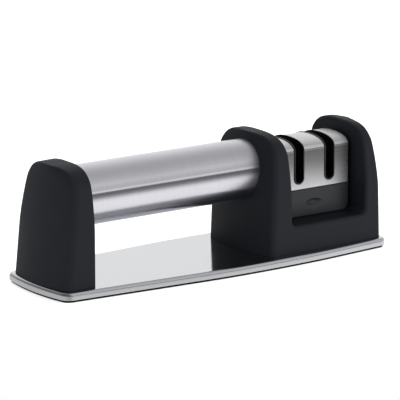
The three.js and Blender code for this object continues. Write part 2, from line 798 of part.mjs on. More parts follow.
const base = new THREE.Group();
const mat = alongZ(baseOutline(TRAY_SHEET + SEAT_GAP), 0, MAT_THICKNESS);
addPiece(base, "base_pad", mat, plastic(0x161616, 0.9));
addPiece(base, "base_core", geometryOf(baseCore()), plastic(0x1c1c1d, 0.7));
addPiece(base, "base_plate", geometryOf(basePlate()), steel(0.15));
postScrews.forEach(([x, y], i) => {
  addPiece(base, `post_screw_${i + 1}`, screwGeometry(1, SCREW_LENGTH), screwFinish, [x, y, coreFoot]);
});
headScrews.forEach(([x, y], i) => {
  addPiece(base, `head_screw_${i + 1}`, screwGeometry(1, SCREW_LENGTH), screwFinish, [x, y, coreFoot]);
});

const grip = new THREE.Group();
addPiece(grip, "handle_post", geometryOf(handlePost()), blockFinish);
addPiece(grip, "handle_tube", handleTube(), steel(0.3), [0, 0, tubeAxis]);
addPiece(grip, "head_housing", geometryOf(headHousing()), blockFinish);

const insert = new THREE.Group();
insert.position.set(bayCentre, 0, bayFloor);
addPiece(insert, "cartridge_body", geometryOf(cartridgeBody()), plastic(0x2b2c2f, 0.6));
addPiece(insert, "cartridge_cover", geometryOf(cartridgeCover()), steel(0.28));
addPiece(insert, "cartridge_base", geometryOf(cartridgeBase()), plastic(0x1f2022, 0.65));
smallScrews.forEach(([x, y], i) => {
  const geometry = screwGeometry(SMALL_SCREW_SCALE, smallScrewLength);
  addPiece(insert, `cartridge_screw_${i + 1}`, geometry, screwFinish, [x, y, insertFoot]);
});
addPiece(insert, "axle", axleGeometry(), steel(0.25), [0, 0, axleHeight]);

const grits = [
  { name: "coarse", finish: { color: 0x5c5a57, roughness: 0.8, metalness: 0.3 } },
  { name: "fine", finish: { color: 0x4a4947, roughness: 0.7, metalness: 0.3 } },
];
grits.forEach(({ name, finish }, i) => {
  const place = [stages[i], 0, axleHeight];
  addPiece(insert, `${name}_hub`, hubGeometry(), plastic(0x303134, 0.6), place);
  addPiece(insert, `${name}_wheel_left`, wheelGeometry(-1), finish, place);
  addPiece(insert, `${name}_wheel_right`, wheelGeometry(1), finish, place);
});

const sharpener = new THREE.Group();
sharpener.name = "knife_sharpener";
sharpener.add(base, grip, insert);

export default sharpener;
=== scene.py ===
"""Looks for a two-stage pull-through knife sharpener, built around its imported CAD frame."""

import json
import logging
import math
from collections.abc import Callable, Iterable, Sequence
from dataclasses import dataclass, field, replace
from enum import Enum
from functools import partial
from typing import Any

import bmesh
import bpy
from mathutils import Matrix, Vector


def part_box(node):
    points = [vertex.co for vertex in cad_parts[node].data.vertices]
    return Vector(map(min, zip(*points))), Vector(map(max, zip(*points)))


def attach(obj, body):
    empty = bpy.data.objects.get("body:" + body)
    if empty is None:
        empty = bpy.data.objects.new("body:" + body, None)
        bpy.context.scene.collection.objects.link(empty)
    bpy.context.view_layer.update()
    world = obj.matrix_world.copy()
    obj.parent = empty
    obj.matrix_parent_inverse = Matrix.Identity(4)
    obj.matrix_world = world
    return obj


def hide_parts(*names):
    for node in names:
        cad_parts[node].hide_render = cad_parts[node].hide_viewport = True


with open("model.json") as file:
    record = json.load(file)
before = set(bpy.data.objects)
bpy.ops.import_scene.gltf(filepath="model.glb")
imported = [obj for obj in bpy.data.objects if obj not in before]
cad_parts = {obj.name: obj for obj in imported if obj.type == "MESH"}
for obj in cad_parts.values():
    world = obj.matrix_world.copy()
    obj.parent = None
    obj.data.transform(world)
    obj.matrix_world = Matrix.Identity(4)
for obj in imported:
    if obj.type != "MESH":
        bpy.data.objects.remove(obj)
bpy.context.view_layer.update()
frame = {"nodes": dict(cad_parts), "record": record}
MM = 0.001
ROUND_SHARE = 0.5523  # handle length that makes a Bezier curve follow a quarter circle
SHARP_DEGREES = 32  # angle from which an edge stays sharp to the eye
BEVEL_SAMPLES = 6  # rays with which a shader looks for edges nearby
TOUCH = 0.01  # distance in millimetres within which two places count as one
LEVEL = 1e-3  # most that a unit normal may lean and still count as square to an axis

BODY_OF = {node: body for body, nodes in frame["record"]["behaviour"]["bodies"].items() for node in nodes}

log = logging.getLogger("knife_sharpener")

Shape = bmesh.types.BMesh
Loop = list[Vector]
Adder = Callable[..., bpy.types.Node]


def linear(code: str) -> tuple[float, float, float, float]:
    """Turns an sRGB hex colour to linear RGBA.

    Args:
        code: Colour as six hex digits, with or without a leading #.

    Returns:
        Red, green, blue and alpha for a shader socket.
    """
    digits = code.lstrip("#")
    shares = [int(digits[i : i + 2], 16) / 255 for i in (0, 2, 4)]
    red, green, blue = (s / 12.92 if s <= 0.04045 else ((s + 0.055) / 1.055) ** 2.4 for s in shares)
    return red, green, blue, 1.0


def per_mm(size: float) -> float:
    """Texture scale that gives features of a size in millimetres on coordinates in metres."""
    return 1 / (size * MM)


def add_node(
    tree: bpy.types.NodeTree, kind: str, inputs: dict[str | int, Any] | None = None, **settings: Any
) -> bpy.types.Node:
    """Adds a node with its settings and links.

    Args:
        tree: Node tree that takes the node.
        kind: Blender's type name of the node, without the ShaderNode that it starts with.
        inputs: Values, or nodes or sockets to link from, by the name or number of the input.
        **settings: Properties of the node itself.

    Returns:
        The new node.
    """
    made = tree.nodes.new(f"ShaderNode{kind}")
    for name, value in settings.items():
        setattr(made, name, value)
    for key, value in (inputs or {}).items():
        if isinstance(value, bpy.types.Node):
            value = next(output for output in value.outputs if output.enabled)
        if isinstance(value, bpy.types.NodeSocket):
            tree.links.new(value, made.inputs[key])
        else:
            made.inputs[key].default_value = value
    return made


def new_material(name: str) -> tuple[bpy.types.Material, Adder]:
    """Makes an empty node material.

    Args:
        name: Name of the material.

    Returns:
        The material, and the function that adds a node to it.
    """
    material = bpy.data.materials.new(name)
    material.use_nodes = True
    material.node_tree.nodes.clear()
    return material, partial(add_node, material.node_tree)


@dataclass(frozen=True)
class MouldedPlastic:
    """Plastic from a spark-eroded mould: a fine pebble softens every highlight, and edges rub paler.

    Pebble, depth, edge radius and cloud are in millimetres.
    """

    name: str
    colour: str
    edge_colour: str
    roughness: float
    specular: float
    pebble: float = 0.45
    depth: float = 0.012
    relief: float = 0.6
    edge_radius: float = 0.35
    edge_cosine: float = 0.86
    edge_wear: float = 0.8
    cloud: float = 14.0
    haze: float = 0.04

    def make(self) -> bpy.types.Material:
        """Builds the material.

        Returns:
            Material with a pebbled surface and slightly paler edges.
        """
        material, add = new_material(self.name)
        place = add("TexCoord").outputs["Object"]
        # The real pebble is about 0.1 mm and would not show, so it is drawn coarser.
        grain = {"Vector": place, "Scale": per_mm(self.pebble), "Detail": 3.0, "Roughness": 0.6}
        pebble = add("TexNoise", grain)
        cloud = add("TexNoise", {"Vector": place, "Scale": per_mm(self.cloud), "Detail": 2.0})
        soft = add("Bevel", {"Radius": self.edge_radius * MM}, samples=BEVEL_SAMPLES)
        raised = {"Height": pebble, "Distance": self.depth * MM, "Strength": self.relief, "Normal": soft}
        flat = add("NewGeometry").outputs["Normal"]
        agree = add("VectorMath", {0: soft, 1: flat}, operation="DOT_PRODUCT")
        edge = add("MapRange", {"Value": agree, 1: 1.0, 2: self.edge_cosine, 3: 0.0, 4: self.edge_wear})
        worn = add("Math", {0: edge, 1: cloud}, operation="MULTIPLY")
        colours = {"Factor": worn, 6: linear(self.colour), 7: linear(self.edge_colour)}
        swing = {"Value": cloud, 3: self.roughness - self.haze, 4: self.roughness + self.haze}
        shader = {
            "Base Color": add("Mix", colours, data_type="RGBA"),
            "Roughness": add("MapRange", swing),
            "Specular IOR Level": self.specular,
            "IOR": 1.5,
            "Normal": add("Bump", raised),
        }
        add("OutputMaterial", {"Surface": add("BsdfPrincipled", shader)})
        return material


class Lines(Enum):
    """Direction of the fine lines that working has left on a metal."""

    LENGTHWISE = (1, 0, 0)
    ACROSS = (0, 1, 1)


@dataclass(frozen=True)
class WorkedSteel:
    """Steel sheet, tube or rod with the fine straight lines that rolling, grinding or brushing leaves.

    The lines break up what the metal mirrors, and anisotropy draws it out along the piece. The roughness
    swings by the haze, and edge roughness is added where the metal doesn't look up, such as on a rolled rim.
    A pressed face bows between two heights. Sizes are in millimetres.
    """

    name: str
    colour: str
    roughness: float
    lines: Lines = Lines.LENGTHWISE
    line_width: float = 0.35
    line_length: float = 40.0
    line_depth: float = 0.0006
    line_shade: float = 0.93
    cloud: float = 22.0
    haze: float = 0.04
    anisotropy: float = 0.0
    edge_roughness: float = 0.0
    edge_radius: float = 0.15
    flat_cosine: float = 0.95
    side_cosine: float = 0.6
    bow_foot: float = 0.0
    bow_top: float = 1.0
    bow_degrees: float = 0.0

    def bowed(self, add: Adder, place: bpy.types.NodeSocket, normal: bpy.types.Node) -> bpy.types.Node:
        """Turns an upright face up towards its top, as a pressed sheet bows between its bends.

        Args:
            add: Function that adds a node to the material.
            place: Place on the piece.
            normal: Normal without the bow.

        Returns:
            Normal with the bow.
        """
        height = add("SeparateXYZ", {0: place}).outputs["Z"]
        share = add("MapRange", {"Value": height, 1: self.bow_foot * MM, 2: self.bow_top * MM})
        square = add("Math", {0: share, 1: 2.0}, operation="POWER")
        span = (self.bow_top - self.bow_foot) * MM
        fall = -0.5 * span * math.tan(math.radians(self.bow_degrees))
        sunk = add("Math", {0: square, 1: fall}, operation="MULTIPLY")
        return add("Bump", {"Height": sunk, "Distance": 1.0, "Strength": 1.0, "Normal": normal})

    def make(self) -> bpy.types.Material:
        """Builds the material.

        Returns:
            Metal whose roughness and surface run in lines, with duller sides where asked.
        """
        material, add = new_material(self.name)
        place = add("TexCoord").outputs["Object"]
        # Real lines are about 0.05 mm wide, too fine to show, so they are drawn wider.
        stretch = [per_mm(self.line_length if along else self.line_width) for along in self.lines.value]
        lined = add("VectorMath", {0: place, 1: stretch}, operation="MULTIPLY")
        lines = add("TexNoise", {"Vector": lined, "Scale": 1.0, "Detail": 4.0, "Roughness": 0.65})
        cloud = add("TexNoise", {"Vector": place, "Scale": per_mm(self.cloud), "Detail": 2.0})
        both = add("Math", {0: lines, 1: cloud}, operation="ADD")
        # Nearly all sums of the two noises lie between 0.7 and 1.3.
        swing = {3: self.roughness - self.haze, 4: self.roughness + self.haze}
        even = add("MapRange", {"Value": both, 1: 0.7, 2: 1.3, **swing})
        up = add("SeparateXYZ", {0: add("NewGeometry").outputs["Normal"]}).outputs["Z"]
        side = add("MapRange", {"Value": up, 1: self.flat_cosine, 2: self.side_cosine})
        dull = add("Math", {0: side, 1: self.edge_roughness}, operation="MULTIPLY")
        # Nearly all values of one noise lie between 0.3 and 0.7.
        tone = add("MapRange", {"Value": lines, 1: 0.3, 2: 0.7, 3: self.line_shade, 4: 1.0})
        tint = {"Factor": 1.0, 6: linear(self.colour), 7: tone}
        soft = add("Bevel", {"Radius": self.edge_radius * MM}, samples=BEVEL_SAMPLES)
        raised = {"Height": lines, "Distance": self.line_depth * MM, "Strength": 1.0, "Normal": soft}
        normal = add("Bump", raised)
        # The tangent runs round the piece, and a quarter turn from it reflections are drawn out along X.
        shader = {
            "Base Color": add("Mix", tint, data_type="RGBA", blend_type="MULTIPLY"),
            "Metallic": 1.0,
            "Roughness": add("Math", {0: even, 1: dull}, operation="ADD"),
            "Normal": self.bowed(add, place, normal) if self.bow_degrees else normal,
            "Anisotropic": self.anisotropy,
            "Anisotropic Rotation": 0.25,
            "Tangent": add("Tangent", direction_type="RADIAL", axis="X"),
        }
        add("OutputMaterial", {"Surface": add("BsdfPrincipled", shader)})
        return material


@dataclass(frozen=True)
class GritCoat:
    """Steel wheel plated with diamond grit: dark, rough and faintly sparkling.

    Grit is the size of a grain in millimetres, and relief is the height of a grain as a share of it.
    """

    name: str
    colour: str
    grain_colour: str
    grit: float
    relief: float = 0.3
    metallic: float = 0.4
    roughness: float = 0.55

    def make(self) -> bpy.types.Material:
        """Builds the material.

        Returns:
            Dark plating with raised grains.
        """
        material, add = new_material(self.name)
        place = add("TexCoord").outputs["Object"]
        # Real grains are about 0.1 mm, too small to show, so they are drawn larger.
        cells = add("TexVoronoi", {"Vector": place, "Scale": per_mm(self.grit)})
        grain = add("MapRange", {"Value": cells, 1: 0.1, 2: 0.5, 3: 1.0, 4: 0.0})
        colours = {"Factor": grain, 6: linear(self.colour), 7: linear(self.grain_colour)}
        shader = {
            "Base Color": add("Mix", colours, data_type="RGBA"),
            "Metallic": self.metallic,
            "Roughness": self.roughness,
            "Normal": add("Bump", {"Height": grain, "Distance": self.relief * self.grit * MM}),
        }
        add("OutputMaterial", {"Surface": add("BsdfPrincipled", shader)})
        return material


class Finish(Enum):
    """Finishes of the sharpener's pieces."""

    # Soft-touch ABS: near black, with a faint wide sheen that shows the round of the arches.
    BLOCK = MouldedPlastic("abs_soft_touch_black", "#191B1F", "#27292D", 0.5, 0.11)
    # Satin ABS: a little paler and glossier, so that it stands out from the bay round it.
    INSERT = MouldedPlastic("abs_satin_charcoal", "#1F2022", "#2E2F31", 0.4, 0.5)
    # Painted shade: the insert's own ABS made near black down in the slots, where shade falls, so hardly any
    # light comes back.
    LINER = MouldedPlastic("abs_painted_slot_shade", "#060606", "#0A0A0A", 0.6, 0.05)
    # Plain ABS as it leaves the mould: dull and dark, on pieces inside.
    HIDDEN = MouldedPlastic("abs_moulded_black", "#101011", "#1A1A1C", 0.6, 0.16)
    # Moulded rubber: dead matt, with a coarser grain.
    MAT = MouldedPlastic("rubber_moulded_matt", "#0B0B0B", "#121212", 0.85, 0.1, pebble=0.9, depth=0.04)
    # Stainless tube ground round and round: bright, with reflections drawn out along it.
    TUBE = WorkedSteel(
        "stainless_tube_ground", "#E7E6ED", 0.2, Lines.ACROSS, haze=0.02, line_depth=0.0002, anisotropy=1.0
    )
    # Bright-rolled stainless sheet: nearly a mirror on top and satin round the rim.
    TRAY = WorkedSteel("stainless_sheet_bright", "#D8DADD", 0.1, haze=0.02, edge_roughness=0.11)
    # Brushed stainless sheet: fine lines, soft reflections and a gentle bow in its upright faces.
    COVER = WorkedSteel(
        "stainless_sheet_brushed",
        "#EEEEF0",
        0.25,
        line_width=0.25,
        line_depth=0.0002,
        anisotropy=1.0,
        bow_foot=34.0,
        bow_top=54.0,
        bow_degrees=10.0,
    )
    # Ground steel rod: bright, with fine lines along it.
    AXLE = WorkedSteel("steel_rod_ground", "#C4C4C6", 0.25)
    # Zinc-plated steel: pale grey and softly clouded.
    SCREW = WorkedSteel("steel_screw_zinc", "#B9BABB", 0.35, line_length=1.0)
    # Nickel-bonded grit: dark, with grains that can be made out on the coarse wheels.
    COARSE = GritCoat("diamond_grit_coarse", "#1E1D1C", "#45423D", 0.45)
    FINE = GritCoat("diamond_grit_fine", "#222120", "#474540", 0.25)

    def make(self) -> bpy.types.Material:
        """Builds the finish's material once and reuses it."""
        return bpy.data.materials.get(self.value.name) or self.value.make()


def bezier(controls: Sequence[Vector], steps: int) -> Loop:
    """Samples a Bezier curve of any order.

    Args:
        controls: Control points.
        steps: Count of samples.

    Returns:
        Points from the start of the curve up to, but without, its end.
    """
    points = []
    for i in range(steps):
        level = list(controls)
        while len(level) > 1:
            level = [a.lerp(b, i / steps) for a, b in zip(level, level[1:])]
        points.append(level[0])
    return points


def rounded(start: Vector, corner: Vector, end: Vector, steps: int) -> Loop:
    """Points on the rounding of a sharp corner, from its start up to, but without, its end."""
    return bezier([start, start.lerp(corner, ROUND_SHARE), end.lerp(corner, ROUND_SHARE), end], steps)


def skin(loops: Sequence[Loop]) -> Shape:
    """Makes a closed shape through loops of equal count, with a face over each end.

    Args:
        loops: Loops of points in millimetres.

    Returns:
        The closed shape, in metres.
    """
    shape = bmesh.new()
    rings = [[shape.verts.new(point * MM) for point in loop] for loop in loops]
    for low, high in zip(rings, rings[1:]):
        for i, corner in enumerate(low):
            j = (i + 1) % len(low)
            shape.faces.new((corner, low[j], high[j], high[i]))
    shape.faces.new(rings[0][::-1])
    shape.faces.new(rings[-1])
    bmesh.ops.recalc_face_normals(shape, faces=shape.faces)
    return shape


def turned(profile: Sequence[tuple[float, float]], segments: int, axis_height: float) -> Shape:
    """Turns a closed profile about a line along X.

    Args:
        profile: Places along X and radii, in millimetres.
        segments: Count of segments round the axis.
        axis_height: Height of the axis in millimetres.

    Returns:
        The closed shape, in metres.
    """
    shape = bmesh.new()
    rings = []
    for i in range(segments):
        angle = math.tau * i / segments
        spoke = Vector((0, math.cos(angle), math.sin(angle)))
        ring = [Vector((x, 0, axis_height)) + spoke * radius for x, radius in profile]
        rings.append([shape.verts.new(point * MM) for point in ring])
    for i, ring in enumerate(rings):
        following = rings[(i + 1) % segments]
        for j, corner in enumerate(ring):
            k = (j + 1) % len(ring)
            shape.faces.new((corner, ring[k], following[k], following[j]))
    bmesh.ops.recalc_face_normals(shape, faces=shape.faces)
    return shape


def cylinder(start: Vector, end: Vector, radius: float, segments: int) -> Shape:
    """Makes a cylinder between two points, for a bore.

    Args:
        start: Middle of one end, in millimetres.
        end: Middle of the other end.
        radius: Radius in millimetres.
        segments: Count of segments round the axis.

    Returns:
        The closed shape, in metres.
    """
    turn = (end - start).to_track_quat("Z", "Y").to_matrix()
    circle = [
        turn @ Vector((math.cos(math.tau * i / segments), math.sin(math.tau * i / segments), 0)) * radius
        for i in range(segments)
    ]
    return skin([[start + point for point in circle], [end + point for point in circle]])


def in_scene(shape: Shape, name: str) -> bpy.types.Object:
    """Turns a shape to an object of the scene.

    Args:
        shape: The shape, which is freed.
        name: Name of the object.

    Returns:
        The object.
    """
    mesh = bpy.data.meshes.new(name)
    shape.to_mesh(mesh)
    shape.free()
    made = bpy.data.objects.new(name, mesh)
    bpy.context.scene.collection.objects.link(made)
    return made


def carved(body: Shape, cutters: Iterable[Shape]) -> Shape:
    """Cuts closed shapes out of a closed shape.

    Args:
        body: Shape to cut, which is freed.
        cutters: Shapes to take away, which are freed.

    Returns:
        The cut shape.
    """
    solid = in_scene(body, "uncut")
    tools = [in_scene(cutter, "cutter") for cutter in cutters]
    for tool in tools:
        cut = solid.modifiers.new("cut", "BOOLEAN")
        cut.operation = "DIFFERENCE"
        cut.solver = "EXACT"
        cut.object = tool
    ready = solid.evaluated_get(bpy.context.evaluated_depsgraph_get())
    mesh = bpy.data.meshes.new_from_object(ready)
    result = bmesh.new()
    result.from_mesh(mesh)
    for used in (solid, *tools):
        data = used.data
        bpy.data.objects.remove(used)
        bpy.data.meshes.remove(data)
    bpy.data.meshes.remove(mesh)
    return result


def soften(shape: Shape, edges: Iterable[bmesh.types.BMEdge], radius: float, segments: int) -> None:
    """Rounds edges of a shape.

    Args:
        shape: The shape, changed in place.
        edges: Edges to round.
        radius: Width of the rounding in millimetres.
        segments: Count of segments across the rounding.
    """
    bmesh.ops.bevel(
        shape,
        geom=list(edges),
        offset=radius * MM,
        offset_type="OFFSET",
        segments=segments,
        profile=0.5,
        affect="EDGES",
        clamp_overlap=False,
    )


def sharp_edges(shape: Shape, degrees: float) -> list[bmesh.types.BMEdge]:
    """Edges of a shape that turn by more than an angle."""
    return [e for e in shape.edges if e.is_manifold and e.calc_face_angle(0.0) > math.radians(degrees)]


def smooth(piece: bpy.types.Object) -> None:
    """Shades a piece smooth apart from its sharp edges."""
    piece.data.shade_smooth()
    piece.data.set_sharp_from_angle(angle=math.radians(SHARP_DEGREES))


def stand_in(shape: Shape, node: str, name: str, finish: Finish) -> bpy.types.Object:
    """Shows a finished shape in the place of a CAD node, with normals that follow its large faces.

    Args:
        shape: The shape, which is freed.
        node: CAD node that it replaces.
        name: Name of the new piece.
        finish: Finish to put on it.

    Returns:
        The new piece.
    """
    piece = in_scene(shape, name)
    piece.data.materials.append(finish.make())
    smooth(piece)
    weighted = piece.modifiers.new("weighted", "WEIGHTED_NORMAL")
    weighted.keep_sharp = True
    weighted.weight = 80
    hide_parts(node)
    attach(piece, BODY_OF[node])
    log.info("%s stands for %s, in %s", name, node, finish.value.name)
    return piece


def dress(node: str, finish: Finish) -> None:
    """Gives a CAD node a finish.

    Args:
        node: Name of the CAD node.
        finish: Finish to put on it.
    """
    piece = frame["nodes"][node]
    piece.data.materials.clear()
    piece.data.materials.append(finish.make())
    smooth(piece)
    log.info("%s dressed in %s", node, finish.value.name)


@dataclass(frozen=True)
class Layout:
    """Levels and places that the sub-assemblies share, in millimetres."""

    base_length: float = 204.4
    base_top: float = 5.0
    gap: float = 0.3
    seam: float = 0.04
    post_inset: float = 1.5
    post_depth: float = 20.6
    head_inset: float = 3.2
    outer_cheek: float = 12.4
    inner_cheek: float = 16.9
    insert_half_width: float = 22.5
    bay_clearance: float = 1.5
    bay_floor_height: float = 14.0
    tube_radius: float = 15.6
    tube_axis_height: float = 41.1
    tube_segments: int = 192
    post_socket: float = 9.0
    head_socket_end: float = 3.4
    screw_radius: float = 1.5
    screw_segments: int = 16
    post_screw_spread: float = 15.0
    head_screw_spread: float = 17.0
    head_screw_edge: float = 10.0
    # How far a cutter reaches past what it cuts
    overrun: float = 1.0

    @property
    def half_length(self) -> float:
        """Half the length of the base."""
        return self.base_length / 2

    @property
    def block_foot(self) -> float:
        """Height of the underside of post and head, which stand on the tray."""
        return self.base_top + self.seam

    @property
    def tube_axis(self) -> float:
        """Height of the tube's axis."""
        return self.base_top + self.tube_axis_height

    @property
    def post_outer(self) -> float:
        """Place of the post's outer end."""
        return self.post_inset - self.half_length

    @property
    def post_inner(self) -> float:
        """Place of the post's inner face."""
        return self.post_outer + self.post_depth

    @property
    def head_outer(self) -> float:
        """Place of the head's outer end."""
        return self.half_length - self.head_inset

    @property
    def bay_right(self) -> float:
        """Place of the bay's outer wall."""
        return self.head_outer - self.outer_cheek

    @property
    def bay_centre(self) -> float:
        """Place of the middle of the bay."""
        return self.bay_right - self.insert_half_width - self.bay_clearance

    @property
    def bay_left(self) -> float:
        """Place of the bay's inner wall."""
        return self.bay_centre - self.insert_half_width - self.bay_clearance

    @property
    def head_inner(self) -> float:
        """Place of the head's inner end."""
        return self.bay_left - self.inner_cheek

    @property
    def bay_floor(self) -> float:
        """Height of the floor of the bay."""
        return self.base_top + self.bay_floor_height

    @property
    def post_screws(self) -> list[tuple[float, float]]:
        """Places of the screws under the post."""
        middle = self.post_inner - self.post_depth / 2
        return [(middle, side * self.post_screw_spread) for side in (-1, 1)]

    @property
    def head_screws(self) -> list[tuple[float, float]]:
        """Places of the screws under the head."""
        ends = (self.head_inner + self.head_screw_edge, self.head_outer - self.head_screw_edge)
        return [(x, side * self.head_screw_spread) for x in ends for side in (-1, 1)]

    def screw_bores(self, places: Iterable[tuple[float, float]], top: float) -> list[Shape]:
        """Cutters for the clearance holes of screws, which run past a height."""
        radius, end, count = self.screw_radius + self.gap / 2, top + self.overrun, self.screw_segments
        return [cylinder(Vector((x, y, 0)), Vector((x, y, end)), radius, count) for x, y in places]

    def socket(self, left: float, right: float) -> Shape:
        """Cutter for the hole that takes an end of the tube, between two places along it."""
        start, end = (Vector((x, 0, self.tube_axis)) for x in (left, right))
        return cylinder(start, end, self.tube_radius + self.seam, self.tube_segments)


LAYOUT = Layout()


@dataclass(frozen=True)
class End:
    """End of a plan: its place along the grip, how far it bows out and the radius of its corners."""

    place: float
    bow: float
    corner: float


@dataclass(frozen=True)
class Plan:
    """Outline seen from above: sides that taper from their widest place and bowed ends, in millimetres."""

    left: End
    right: End
    half: float
    widest: float
    crest: float = 0.0
    left_taper: float = 0.0
    right_taper: float = 0.0

    def edge(self, x: float) -> Vector:
        """Point of the back side at a place along the grip."""
        taper = self.left_taper if x < self.widest else self.right_taper
        return Vector((x, self.half - taper * abs(x - self.widest)))

    def turn(self, end: End, out: int) -> Loop:
        """Finds the back corner of an end.

        Args:
            end: The end.
            out: 1 for the right end and -1 for the left one.

        Returns:
            Where the corner starts on the side, its sharp point, where it ends, and the handle of the bow.
        """
        sharp = self.edge(end.place - out * end.bow)
        half = sharp.y - end.corner
        rise = out * end.bow * (half / sharp.y) ** 2
        start = self.edge(sharp.x - out * end.corner)
        return [start, sharp, Vector((end.place - rise, half)), Vector((end.place + rise, 0))]

    def outline(self, steps: int) -> Loop:
        """Samples the outline.

        Args:
            steps: Count of samples on each corner; the ends get twice as many.

        Returns:
            Points anticlockwise, from the front of the left end.
        """
        start, left_corner, left_end, left_bow = self.turn(self.left, -1)
        stop, right_corner, right_end, right_bow = self.turn(self.right, 1)
        near, far = self.edge(self.widest - self.crest), self.edge(self.widest + self.crest)
        peak = Vector((self.widest, self.half))
        flip = Vector((1, -1))
        crest = rounded(near, peak, far, 2 * steps) + [far] if self.crest else [peak]
        front = [start, *crest] + rounded(stop, right_corner, right_end, steps)
        mirrored = [point * flip for point in front]
        right = bezier([right_end * flip, right_bow, right_end], 2 * steps)
        back = rounded(right_end, right_corner, stop, steps) + [stop, *crest[::-1]]
        back += rounded(start, left_corner, left_end, steps)
        left = bezier([left_end, left_bow, left_end * flip], 2 * steps)
        last = rounded(left_end * flip, left_corner * flip, start * flip, steps)
        return mirrored + right + back + left + last


@dataclass(frozen=True)
class Arch:
    """Half of the arch of post and head, in shares of the half width and height.

    The flank turns in from the waist to a wide, high shoulder, and the crown goes on to a flat at the top,
    after its share. The pulls, the stretch and the reach are the handles of these two curves.
    """

    waist: float = 0.46
    wide: float = 0.846
    high: float = 0.875
    flank_pull: float = 0.28
    pull_out: float = 0.43
    pull_down: float = 0.105
    stretch: float = 2.28
    crown_reach: float = 0.51
    crown_share: float = 8 / 9

    def levels(self, steps: int) -> Loop:
        """Samples the arch.

        Args:
            steps: Count of samples on the flank and on the crown.

        Returns:
            Points from the foot to just short of the top.
        """
        shoulder = Vector((self.wide, self.high))
        rise = self.high - self.waist
        foot, pulled = Vector((1, self.waist)), Vector((1, self.waist + self.flank_pull * rise))
        drawn = Vector((self.wide + self.pull_out * (1 - self.wide), self.high - self.pull_down * rise))
        flank = bezier([foot, pulled, drawn, shoulder], steps)
        turn = shoulder + self.stretch * (shoulder - drawn)
        crown = bezier([shoulder, turn, Vector((self.crown_reach, 1)), Vector((0, 1))], steps)
        return [Vector((1, 0)), *flank, *crown[: round(self.crown_share * steps) + 1]]


@dataclass(frozen=True)
class Block:
    """Moulded block: plan outlines carried up an arch, with ends that lean in towards the top."""

    plan: Plan
    height: float
    top_share: float
    power: float
    lean_from: float
    lean_to: float
    arch: Arch = Arch()
    crown_edge: float = 0.5
    top_sag: float = 1.2
    arch_steps: int = 27
    plan_steps: int = 8

    def mesh(self) -> Shape:
        """Builds the uncut block.

        Returns:
            The closed shape.
        """
        loops, sharp = [], self.crown_edge
        for level in self.arch.levels(self.arch_steps):
            keep = 1 - (1 - self.top_share) * level.y**self.power
            # Corners are round up to the shoulder and turn crisp along the crown.
            fade = min(max(2 * level.x / self.arch.wide - 1, 0), 1)
            left, right = (
                End(lean + (end.place - lean) * keep, end.bow * keep, sharp + (end.corner - sharp) * fade)
                for end, lean in ((self.plan.left, self.lean_from), (self.plan.right, self.lean_to))
            )
            section = replace(self.plan, left=left, right=right)
            loops.append([self.lifted(point, level) for point in section.outline(self.plan_steps)])
        return skin(loops)

    def lifted(self, point: Vector, level: Vector) -> Vector:
        """Carries a point of a plan up to a level of the arch.

        Args:
            point: Point of the plan.
            level: Shares of half width and height.

        Returns:
            The point in space, in millimetres.
        """
        sag = self.top_sag * (point.x / LAYOUT.half_length) ** 2
        height = self.height - LAYOUT.seam - sag
        return Vector((point.x, point.y * level.x, LAYOUT.block_foot + level.y * height))


@dataclass
class HandlePost:
    """Post at the end of the grip, with the blind socket for the tube."""

    half_width: float = 25.1
    height: float = 60.2
    bow: float = 4.2
    corner: float = 3.6
    inner_corner: float = 1.0
    straight: float = 3.0
    top_share: float = 0.58
    power: float = 1.2

    def build(self) -> None:
        """Builds the post and dresses it."""
        plan = Plan(
            left=End(LAYOUT.post_outer, self.bow, self.corner),
            right=End(LAYOUT.post_inner, 0.0, self.inner_corner),
            half=self.half_width,
            widest=LAYOUT.post_inner - self.straight,
        )
        block = Block(plan, self.height, self.top_share, self.power, LAYOUT.post_inner, LAYOUT.post_inner)
        deep = LAYOUT.post_inner - LAYOUT.post_socket - LAYOUT.gap
        socket = LAYOUT.socket(deep, LAYOUT.post_inner + LAYOUT.overrun)
        bores = LAYOUT.screw_bores(LAYOUT.post_screws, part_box("post_screw_1")[1].z / MM)
        shape = carved(block.mesh(), [socket, *bores])
        stand_in(shape, "handle_post", "handle_post_moulding", Finish.BLOCK)
        for node in ("post_screw_1", "post_screw_2"):
            dress(node, Finish.SCREW)


